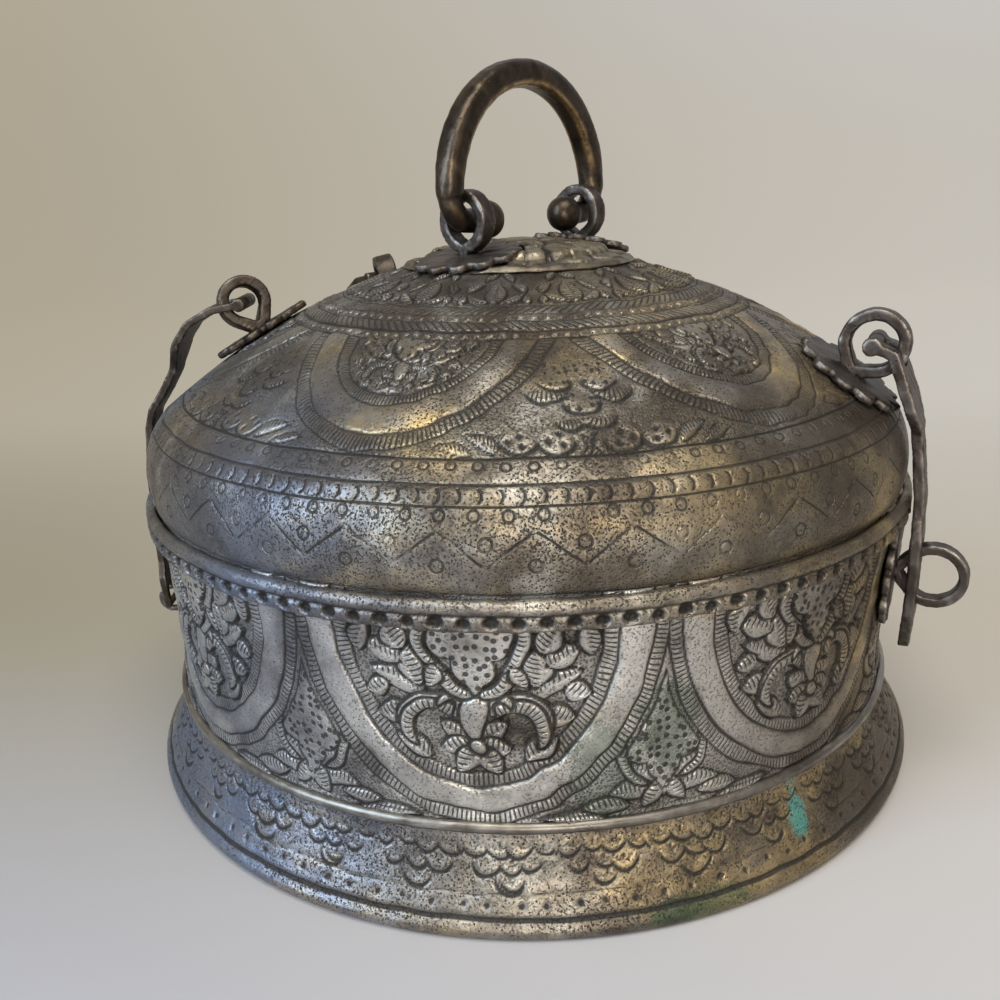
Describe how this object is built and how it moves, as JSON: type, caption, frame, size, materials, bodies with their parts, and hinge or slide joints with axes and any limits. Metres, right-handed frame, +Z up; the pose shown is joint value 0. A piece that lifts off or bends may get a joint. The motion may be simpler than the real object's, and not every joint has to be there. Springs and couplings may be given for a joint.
{
  "type": "paan box",
  "caption": "Round tinned-brass paan box with a domed lid on strap hinges, a hasp over a staple, a bail handle and a lift-out tray of lidded cups",
  "frame": {"origin": "on the drum's axis, in the plane of the foot's lower edge", "axes": "+X to the right of someone who faces the hasp, +Y from the hasp towards the hinges, +Z up"},
  "size_m": [0.25, 0.2622, 0.2084],
  "materials": {
    "tinned_sheet": "worn tin over brass, engraved and darkened",
    "inside_tin": "dull tin",
    "worn_brass": "brass worn through its tin",
    "forged_iron": "dark forged iron with rubbed edges",
    "dark_bronze": "dark bronze, polished by hands"
  },
  "bodies": {
    "box": {"foot_skirt": "tinned_sheet", "foot_rim_wire": "forged_iron", "floor_plate": "inside_tin", "body_drum": "tinned_sheet", "waist_bead": "worn_brass", "collar_band": "worn_brass", "mouth_ring": "inside_tin", "staple_rosette": "forged_iron", "staple": "forged_iron", "hinge_foot_rosette_left": "forged_iron", "hinge_foot_rosette_right": "forged_iron", "hinge_staple_left": "forged_iron", "hinge_staple_right": "forged_iron"},
    "lid": {"lid_shell": "tinned_sheet", "crown_boss": "worn_brass", "handle_rosette_left": "forged_iron", "handle_rosette_right": "forged_iron", "handle_eye_left": "forged_iron", "handle_eye_right": "forged_iron", "hasp_rosette": "forged_iron", "hasp_eye": "forged_iron", "hinge_rosette_left": "forged_iron", "hinge_rosette_right": "forged_iron", "hinge_eye_left": "forged_iron", "hinge_eye_right": "forged_iron", "hinge_strap_left": "forged_iron", "hinge_strap_right": "forged_iron"},
    "hasp": {"hasp": "forged_iron"},
    "handle": {"handle": "dark_bronze"},
    "tray": {"tray": "inside_tin"},
    "cup_centre": {"cup_centre": "inside_tin"},
    "cup_lid_centre": {"cup_lid_centre": "worn_brass"},
    "cup_1": {"cup_1": "inside_tin"},
    "cup_lid_1": {"cup_lid_1": "worn_brass"},
    "cup_2": {"cup_2": "inside_tin"},
    "cup_lid_2": {"cup_lid_2": "worn_brass"},
    "cup_3": {"cup_3": "inside_tin"},
    "cup_lid_3": {"cup_lid_3": "worn_brass"},
    "cup_4": {"cup_4": "inside_tin"},
    "cup_lid_4": {"cup_lid_4": "worn_brass"},
    "cup_5": {"cup_5": "inside_tin"},
    "cup_lid_5": {"cup_lid_5": "worn_brass"},
    "cup_6": {"cup_6": "inside_tin"},
    "cup_lid_6": {"cup_lid_6": "worn_brass"}
  },
  "joints": [
    {"name": "lid_swing", "type": "hinge", "parent": "box", "child": "lid", "pos_m": [0, 0.1073, 0.0415], "axis": [-1, 0, 0], "range_deg": [0, 92]},
    {"name": "hasp_swing", "type": "hinge", "parent": "lid", "child": "hasp", "pos_m": [0, -0.10707, 0.12845], "axis": [-1, 0, 0], "range_deg": [0, 150]},
    {"name": "handle_swing", "type": "hinge", "parent": "lid", "child": "handle", "pos_m": [0, 0, 0.1631], "axis": [-0.9681, 0.2504, 0], "range_deg": [-70, 70]},
    {"name": "tray_lift", "type": "slide", "parent": "box", "child": "tray", "axis": [0, 0, 1], "range_m": [0, 0.016]},
    {"name": "cup_centre_lift", "type": "slide", "parent": "tray", "child": "cup_centre", "axis": [0, 0, 1], "range_m": [0, 0.006]},
    {"name": "cup_lid_centre_lift", "type": "slide", "parent": "cup_centre", "child": "cup_lid_centre", "axis": [0, 0, 1], "range_m": [0, 0.006]},
    {"name": "cup_1_lift", "type": "slide", "parent": "tray", "child": "cup_1", "axis": [0, 0, 1], "range_m": [0, 0.006]},
    {"name": "cup_lid_1_lift", "type": "slide", "parent": "cup_1", "child": "cup_lid_1", "axis": [0, 0, 1], "range_m": [0, 0.006]},
    {"name": "cup_2_lift", "type": "slide", "parent": "tray", "child": "cup_2", "axis": [0, 0, 1], "range_m": [0, 0.006]},
    {"name": "cup_lid_2_lift", "type": "slide", "parent": "cup_2", "child": "cup_lid_2", "axis": [0, 0, 1], "range_m": [0, 0.006]},
    {"name": "cup_3_lift", "type": "slide", "parent": "tray", "child": "cup_3", "axis": [0, 0, 1], "range_m": [0, 0.006]},
    {"name": "cup_lid_3_lift", "type": "slide", "parent": "cup_3", "child": "cup_lid_3", "axis": [0, 0, 1], "range_m": [0, 0.006]},
    {"name": "cup_4_lift", "type": "slide", "parent": "tray", "child": "cup_4", "axis": [0, 0, 1], "range_m": [0, 0.006]},
    {"name": "cup_lid_4_lift", "type": "slide", "parent": "cup_4", "child": "cup_lid_4", "axis": [0, 0, 1], "range_m": [0, 0.006]},
    {"name": "cup_5_lift", "type": "slide", "parent": "tray", "child": "cup_5", "axis": [0, 0, 1], "range_m": [0, 0.006]},
    {"name": "cup_lid_5_lift", "type": "slide", "parent": "cup_5", "child": "cup_lid_5", "axis": [0, 0, 1], "range_m": [0, 0.006]},
    {"name": "cup_6_lift", "type": "slide", "parent": "tray", "child": "cup_6", "axis": [0, 0, 1], "range_m": [0, 0.006]},
    {"name": "cup_lid_6_lift", "type": "slide", "parent": "cup_6", "child": "cup_lid_6", "axis": [0, 0, 1], "range_m": [0, 0.006]}
  ]
}
